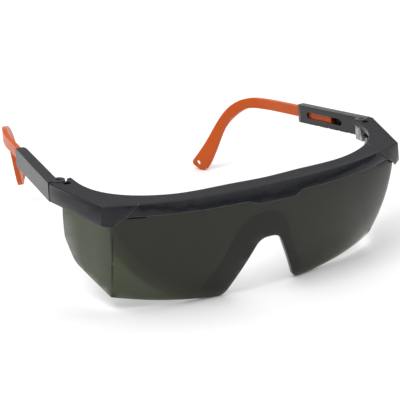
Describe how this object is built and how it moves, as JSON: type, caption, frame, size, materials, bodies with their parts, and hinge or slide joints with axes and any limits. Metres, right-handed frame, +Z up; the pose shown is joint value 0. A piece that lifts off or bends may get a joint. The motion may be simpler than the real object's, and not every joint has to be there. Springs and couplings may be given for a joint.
{
  "type": "welding spectacles",
  "caption": "Wrap-around safety spectacles: black brow frame over a one-piece dark olive lens with side shields and nose notch; orange temple arms that slide, fold and tilt.",
  "frame": {"origin": "centre of the bounding box's underside, where the spectacles stand on a table with the temples open", "axes": "-Y is the way the wearer looks, +X is the wearer's left, +Z up; left and right in node names are as seen from the front, so left is -X"},
  "size_m": [0.1504, 0.1492, 0.0494],
  "materials": {
    "brow_frame": "satin black moulded nylon",
    "lens": "polished dark olive welding filter, polycarbonate",
    "nose_bridge": "dull black soft plastic",
    "tilt_pin": "dull steel",
    "tilt_block": "light grey moulded nylon",
    "hinge_pin": "blackened steel",
    "temple_sleeve": "satin black moulded nylon",
    "temple_arm": "satin orange nylon, slightly translucent"
  },
  "bodies": {
    "front": {"brow_frame": "brow_frame", "lens": "lens", "nose_bridge": "nose_bridge", "tilt_pin_left": "tilt_pin", "tilt_pin_right": "tilt_pin"},
    "tilt_left": {"tilt_block_left": "tilt_block"},
    "temple_left": {"temple_sleeve_left": "temple_sleeve", "hinge_pin_left": "hinge_pin"},
    "arm_left": {"temple_arm_left": "temple_arm"},
    "tilt_right": {"tilt_block_right": "tilt_block"},
    "temple_right": {"temple_sleeve_right": "temple_sleeve", "hinge_pin_right": "hinge_pin"},
    "arm_right": {"temple_arm_right": "temple_arm"}
  },
  "joints": [
    {"name": "tilt_left", "type": "hinge", "parent": "front", "child": "tilt_left", "pos_m": [-0.0678, -0.03461, 0.04523], "axis": [1, 0, 0], "range_deg": [-5.4, 5.4]},
    {"name": "fold_left", "type": "hinge", "parent": "tilt_left", "child": "temple_left", "pos_m": [-0.0705, -0.02991, 0.04515], "axis": [0, -0.0156, -0.9999], "range_deg": [0, 84]},
    {"name": "slide_left", "type": "slide", "parent": "temple_left", "child": "arm_left", "axis": [0.1097, 0.9938, -0.0155], "range_m": [-0.0136, 0.0068]},
    {"name": "tilt_right", "type": "hinge", "parent": "front", "child": "tilt_right", "pos_m": [0.0678, -0.03461, 0.04523], "axis": [1, 0, 0], "range_deg": [0, 10.8]},
    {"name": "fold_right", "type": "hinge", "parent": "tilt_right", "child": "temple_right", "pos_m": [0.0705, -0.02994, 0.04471], "axis": [0, 0.1096, 0.994], "range_deg": [0, 76]},
    {"name": "slide_right", "type": "slide", "parent": "temple_right", "child": "arm_right", "axis": [-0.1097, 0.988, -0.1089], "range_m": [-0.0136, 0.0068]}
  ]
}
